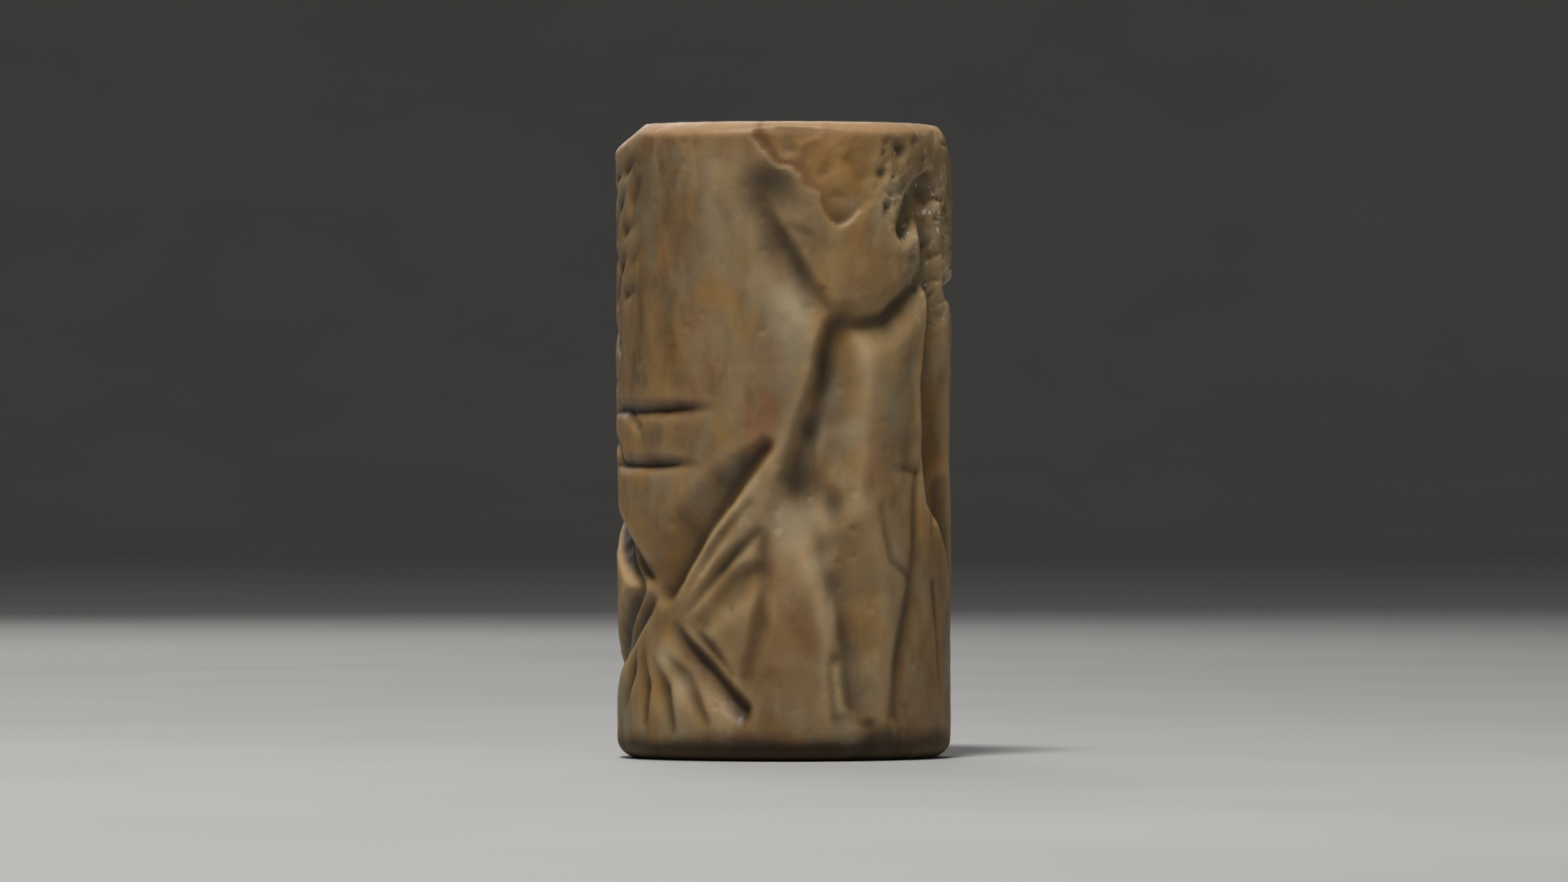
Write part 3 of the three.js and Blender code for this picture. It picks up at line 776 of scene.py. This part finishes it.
def weathering_tree():
    """Sinks pits and grain into a stone surface along its normals."""
    sockets = [("Pit Size", "Float"), ("Pit Depth", "Float"), ("Pit Share", "Float")]
    sockets += [("Pit Rim", "Float"), ("Grain Size", "Float"), ("Grain Depth", "Float")]
    sockets += [("Seed", "Float"), ("Stone", "Material")]
    tree, given = geometry_tree("weathering", sockets)
    position = tree.nodes.new("GeometryNodeInputPosition").outputs[0]
    shift = {0: position, 1: given["Seed"]}
    shifted = add(tree, "ShaderNodeVectorMath", shift, operation="ADD").outputs[0]
    pit_scale = sums(tree, "DIVIDE", 1.0, given["Pit Size"])
    cells = add(tree, "ShaderNodeTexVoronoi", {"Vector": shifted, "Scale": pit_scale}, feature="F1")
    chosen = add(tree, "ShaderNodeSeparateXYZ", {0: cells.outputs["Color"]}).outputs["X"]
    is_pit = sums(tree, "LESS_THAN", chosen, given["Pit Share"])
    bowl = add(
        tree,
        "ShaderNodeMapRange",
        {
            "Value": cells.outputs["Distance"],
            "From Max": given["Pit Rim"],
            "To Min": 1.0,
            "To Max": 0.0,
        },
        interpolation_type="SMOOTHSTEP",
    ).outputs[0]
    pit = sums(tree, "MULTIPLY", sums(tree, "MULTIPLY", bowl, is_pit), given["Pit Depth"])
    grain_scale = sums(tree, "DIVIDE", 1.0, given["Grain Size"])
    grain_look = {"Vector": shifted, "Scale": grain_scale, "Detail": 3.0}
    speckle = add(tree, "ShaderNodeTexNoise", grain_look).outputs[0]
    grain = sums(tree, "MULTIPLY", speckle, given["Grain Depth"])
    depth = sums(tree, "MULTIPLY", sums(tree, "ADD", pit, grain), -1.0)
    normal = tree.nodes.new("GeometryNodeInputNormal").outputs[0]
    inwards = {0: normal, "Scale": depth}
    offset = add(tree, "ShaderNodeVectorMath", inwards, operation="SCALE").outputs[0]
    worn = add(tree, "GeometryNodeSetPosition", {"Geometry": given["Geometry"], "Offset": offset})
    close_tree(tree, worn.outputs[0], given["Stone"])
    return tree


weathered = baked(
    turned_stone,
    weathering_tree(),
    {
        "Pit Size": 0.8 * MM,
        "Pit Depth": 0.06 * MM,
        "Pit Share": 0.16,
        "Pit Rim": 0.42,
        "Grain Size": 0.7 * MM,
        "Grain Depth": 0.05 * MM,
        "Seed": 0.37,
        "Stone": stone,
    },
)
facing_out = bmesh.new()
facing_out.from_mesh(weathered)
bmesh.ops.recalc_face_normals(facing_out, faces=facing_out.faces)
facing_out.to_mesh(weathered)
facing_out.free()
weathered.polygons.foreach_set("use_smooth", [True] * len(weathered.polygons))
weathered.name = "engraved_seal"
seal = bpy.data.objects.new("engraved_seal", weathered)
bpy.context.scene.collection.objects.link(seal)


# The stone's look: brown and grey bands up the stone, ochre and red-brown stains, pale ridges of wear
# and painted highlight, and dark dirt and painted shade in the hollows, under a soft polish.
def srgb(red, green, blue):
    """A colour on the shader, from the eight-bit numbers a colour picker gives."""
    shares = [part / 255 for part in (red, green, blue)]
    return (*[s / 12.92 if s <= 0.04045 else ((s + 0.055) / 1.055) ** 2.4 for s in shares], 1)


BROWN = srgb(146, 116, 75)
DEEP_BROWN = srgb(98, 74, 42)
GREY = srgb(134, 121, 93)
OCHRE = srgb(152, 112, 54)
RED_BROWN = srgb(134, 90, 56)
PALE = srgb(188, 158, 116)
PALE_GREY = srgb(180, 163, 130)
TAN = srgb(162, 128, 89)
# Dark dirt, also used as painted shade in the hollows, inside the bore and in the dark stains.
DIRT_AND_SHADE = srgb(45, 32, 15)
SPARKLE = srgb(226, 216, 190)
BROKEN_BROWN = srgb(104, 64, 34)
# Painted shade for the foot.
FOOT_SHADE = srgb(30, 18, 6)


def mottling_group():
    """A mask of soft patches, stretched along Z."""
    tree = bpy.data.node_groups.new("mottling", "ShaderNodeTree")
    for name in ("Size", "Stretch", "Cover", "Softness", "Detail", "Shift"):
        tree.interface.new_socket(name, in_out="INPUT", socket_type="NodeSocketFloat")
    tree.interface.new_socket("Mask", in_out="OUTPUT", socket_type="NodeSocketFloat")
    given = tree.nodes.new("NodeGroupInput").outputs
    position = add(tree, "ShaderNodeTexCoord").outputs["Object"]
    squeeze = sums(tree, "DIVIDE", 1.0, given["Stretch"])
    stretched = add(tree, "ShaderNodeCombineXYZ", {"X": 1.0, "Y": 1.0, "Z": squeeze}).outputs[0]
    scaled = add(tree, "ShaderNodeVectorMath", {0: position, 1: stretched}, operation="MULTIPLY")
    shift = {0: scaled.outputs[0], 1: given["Shift"]}
    shifted = add(tree, "ShaderNodeVectorMath", shift, operation="ADD")
    noise = add(
        tree,
        "ShaderNodeTexNoise",
        {
            "Vector": shifted.outputs[0],
            "Scale": sums(tree, "DIVIDE", 1.0, given["Size"]),
            "Detail": given["Detail"],
            "Roughness": 0.6,
            "Distortion": 0.4,
        },
    )
    edge = sums(tree, "SUBTRACT", 1.0, given["Cover"])
    mask = add(
        tree,
        "ShaderNodeMapRange",
        {
            "Value": noise.outputs[0],
            "From Min": sums(tree, "SUBTRACT", edge, given["Softness"]),
            "From Max": sums(tree, "ADD", edge, given["Softness"]),
        },
        interpolation_type="SMOOTHSTEP",
    )
    add(tree, "NodeGroupOutput", {"Mask": mask.outputs[0]})
    return tree


mottling = mottling_group()


def patches(tree, size, stretch=1.0, cover=0.5, softness=0.2, detail=3.0, shift=0.0):
    """The mask of the mottling group, with its own values."""
    made = tree.nodes.new("ShaderNodeGroup")
    made.node_tree = mottling
    for socket, value in zip(made.inputs, (size, stretch, cover, softness, detail, shift)):
        socket.default_value = value
    return made.outputs["Mask"]


def painted(tree, under, over, mask, strength=1.0):
    """One colour laid over another through a mask, at a strength."""
    made = tree.nodes.new("ShaderNodeMix")
    made.data_type = "RGBA"
    share = sums(tree, "MULTIPLY", mask, strength)
    for socket, value in ((made.inputs[6], under), (made.inputs[7], over), (made.inputs[0], share)):
        if isinstance(value, bpy.types.NodeSocket):
            tree.links.new(value, socket)
        else:
            socket.default_value = value
    return made.outputs[2]


def attribute(tree, name):
    """A mask that the piece's points carry."""
    return add(tree, "ShaderNodeAttribute", attribute_name=name).outputs["Fac"]


# The stone's own hues lie in soft patches over deep brown, each at a strength. The patches are
# given by their size in metres, their stretch up the stone, cover, softness, detail and shift.
STONE_PATCHES = (
    (BROWN, 1.0, (0.0019, 2.3, 0.5, 0.3, 2, 1.3)),
    (GREY, 1.0, (0.0036, 1.8, 0.43, 0.14, 2.5, 4.1)),
    (OCHRE, 1.0, (0.0032, 1.7, 0.4, 0.13, 2.5, 7.7)),
    (RED_BROWN, 1.0, (0.0021, 2.1, 0.35, 0.11, 3, 11.9)),
    (PALE_GREY, 0.35, (0.0021, 1.8, 0.36, 0.12, 3.5, 15.1)),
    (DIRT_AND_SHADE, 0.28, (0.0011, 1.8, 0.38, 0.1, 5, 21.7)),
)
# Stains, wear, dirt, painted shade and painted highlights come over them through the masks that the
# points carry.
STAINS_WEAR_AND_PAINTED_LIGHT = (
    ("flaked", OCHRE, 0.6),
    ("ochre_stain", OCHRE, 0.9),
    ("red_stain", RED_BROWN, 0.8),
    ("grey_stain", GREY, 0.8),
    ("pale_stain_and_highlight", PALE_GREY, 0.8),
    ("dark_stain_and_shade", DIRT_AND_SHADE, 0.55),
    ("ridge_wear_and_highlight", PALE, 0.55),
    ("crevice_dirt_and_shade", DIRT_AND_SHADE, 0.85),
    ("bore", DIRT_AND_SHADE, 0.7),
)
RIM_STRENGTH, CRUMBLED_STRENGTH, SPARKLE_STRENGTH = 0.45, 0.45, 0.9
BROKEN_STRENGTH, FOOT_SHADE_STRENGTH = 0.7, 0.88
stone.use_nodes = True
tree = stone.node_tree
shader = tree.nodes["Principled BSDF"]
colour = DEEP_BROWN
for hue, strength, look in STONE_PATCHES:
    colour = painted(tree, colour, hue, patches(tree, *look), strength)
for mask, hue, strength in STAINS_WEAR_AND_PAINTED_LIGHT:
    colour = painted(tree, colour, hue, attribute(tree, mask), strength)
worn_patches = patches(tree, 0.003, cover=0.6, softness=0.2, detail=4, shift=31.3)
worn_edge = sums(tree, "ADD", worn_patches, 1.0)
worn_rim = sums(tree, "MULTIPLY", attribute(tree, "rim"), worn_edge)
colour = painted(tree, colour, TAN, worn_rim, RIM_STRENGTH)
crumbled = attribute(tree, "pitted")
colour = painted(tree, colour, PALE_GREY, crumbled, CRUMBLED_STRENGTH)
grains = patches(tree, 0.00042, cover=0.36, softness=0.03, detail=2, shift=5.3)
sparkling = sums(tree, "MULTIPLY", crumbled, grains)
colour = painted(tree, colour, SPARKLE, sparkling, SPARKLE_STRENGTH)
colour = painted(tree, colour, BROKEN_BROWN, attribute(tree, "broken_edge"), BROKEN_STRENGTH)
# The foot is darkened with painted shade, most strongly at the front.
foot = attribute(tree, "foot")
colour = painted(tree, colour, FOOT_SHADE, foot, FOOT_SHADE_STRENGTH)
tree.links.new(colour, shader.inputs["Base Color"])

# The polish is worn unevenly and is gone at the foot. A fine grain breaks up its shine.
SMOOTHEST, ROUGHEST, FOOT_ROUGHER = 0.42, 0.62, 0.3
FINE_GRAIN_SCALE, FINE_GRAIN_HEIGHT, FINE_GRAIN_STRENGTH = 5200.0, 0.03 * MM, 0.6
gloss = patches(tree, 0.0011, stretch=1.5, softness=0.3, detail=5, shift=2.9)
polish = {"Value": gloss, "To Min": SMOOTHEST, "To Max": ROUGHEST}
worn_polish = add(tree, "ShaderNodeMapRange", polish).outputs[0]
dull_foot = sums(tree, "MULTIPLY", foot, FOOT_ROUGHER)
tree.links.new(sums(tree, "ADD", worn_polish, dull_foot), shader.inputs["Roughness"])
on_stone = add(tree, "ShaderNodeTexCoord").outputs["Object"]
fine_look = {"Scale": FINE_GRAIN_SCALE, "Detail": 4.0, "Vector": on_stone}
fine_grain = add(tree, "ShaderNodeTexNoise", fine_look).outputs[0]
raised = {"Height": fine_grain, "Strength": FINE_GRAIN_STRENGTH, "Distance": FINE_GRAIN_HEIGHT}
bump = add(tree, "ShaderNodeBump", raised)
tree.links.new(bump.outputs[0], shader.inputs["Normal"])
shader.inputs["Specular IOR Level"].default_value = 0.4
shader.inputs["Subsurface Weight"].default_value = 0.1
shader.inputs["Subsurface Radius"].default_value = (1.0, 0.7, 0.45)
shader.inputs["Subsurface Scale"].default_value = 0.8 * MM

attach(seal, "root")
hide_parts("cylinder_seal")

# The floor: a smooth pale sweep of painted board, flat under the seal and curving up all round
# into a low wall.
FLOOR_FLAT, FLOOR_CURVE, FLOOR_WALL = 1.0, 0.5, 0.3
FLOOR_SIDES, CURVE_STEPS = 96, 12
floor_profile = [(FLOOR_FLAT * share, 0.0) for share in (0.1, 0.4, 1.0)]
for step in range(1, CURVE_STEPS + 1):
    angle = math.radians(90 * step / CURVE_STEPS)
    rise = FLOOR_CURVE * (1 - math.cos(angle))
    floor_profile.append((FLOOR_FLAT + FLOOR_CURVE * math.sin(angle), rise))
floor_profile.append((FLOOR_FLAT + FLOOR_CURVE, FLOOR_CURVE + FLOOR_WALL))
sweep = bmesh.new()
turns = [2 * math.pi * i / FLOOR_SIDES for i in range(FLOOR_SIDES)]
rings = []
for radius, height in floor_profile:
    around_middle = [(radius * math.cos(a), radius * math.sin(a), height) for a in turns]
    rings.append([sweep.verts.new(corner) for corner in around_middle])
middle = sweep.verts.new((0, 0, 0))
for i in range(FLOOR_SIDES):
    after = (i + 1) % FLOOR_SIDES
    sweep.faces.new((middle, rings[0][i], rings[0][after]))
    for inner, outer in zip(rings, rings[1:]):
        sweep.faces.new((inner[i], outer[i], outer[after], inner[after]))
floor_mesh = bpy.data.meshes.new("floor")
sweep.to_mesh(floor_mesh)
sweep.free()
floor_mesh.polygons.foreach_set("use_smooth", [True] * len(floor_mesh.polygons))
floor = bpy.data.objects.new("floor", floor_mesh)
bpy.context.scene.collection.objects.link(floor)
BOARD_GREY, BOARD_PALE = srgb(160, 159, 157), srgb(168, 167, 165)
board = bpy.data.materials.new("painted_board")
board.use_nodes = True
board_tree = board.node_tree
board_shader = board_tree.nodes["Principled BSDF"]
cloudy = patches(board_tree, 0.05, softness=0.3)
board_colour = painted(board_tree, BOARD_GREY, BOARD_PALE, cloudy)
board_tree.links.new(board_colour, board_shader.inputs["Base Color"])
board_shader.inputs["Roughness"].default_value = 0.8
floor_mesh.materials.append(board)

# The light: one broad soft lamp above the front, a little to the left, weak ones from the right and
# from behind, and a dim even surround. Each lamp looks at the middle of the seal.
LAMP_AIM = Vector((0, 0, 0.016))
SURROUND, SURROUND_STRENGTH = (0.84, 0.82, 0.78, 1), 0.12


def lamp(name, at, size, power):
    """A round soft lamp."""
    data = bpy.data.lights.new(name, "AREA")
    data.shape, data.size, data.energy = "DISK", size, power
    made = bpy.data.objects.new(name, data)
    made.location = at
    made.rotation_euler = (LAMP_AIM - Vector(at)).to_track_quat("-Z", "Y").to_euler()
    bpy.context.scene.collection.objects.link(made)


lamp("key_lamp", (-0.045, -0.16, 0.38), 0.08, 1.68)
lamp("fill_lamp", (0.3, -0.4, 0.1), 0.3, 0.13)
lamp("back_lamp", (-0.1, 0.34, 0.22), 0.3, 0.5)
world = bpy.data.worlds.new("surround")
world.use_nodes = True
world.node_tree.nodes["Background"].inputs["Color"].default_value = SURROUND
world.node_tree.nodes["Background"].inputs["Strength"].default_value = SURROUND_STRENGTH
bpy.context.scene.world = world
bpy.context.scene.view_settings.view_transform = "Standard"

# The camera: level with the middle of the seal and straight in front of it, with a long lens.
CAMERA_LENS, CAMERA_AWAY = 250, 0.575
NEAREST_SEEN, FURTHEST_SEEN = 0.01, 10
camera_data = bpy.data.cameras.new("camera")
camera_data.lens = CAMERA_LENS
camera_data.clip_start = NEAREST_SEEN
camera_data.clip_end = FURTHEST_SEEN
camera = bpy.data.objects.new("camera", camera_data)
camera.location = (0, -CAMERA_AWAY, LENGTH * MM / 2)
camera.rotation_euler = (math.radians(90), 0, 0)
bpy.context.scene.collection.objects.link(camera)
bpy.context.scene.camera = camera
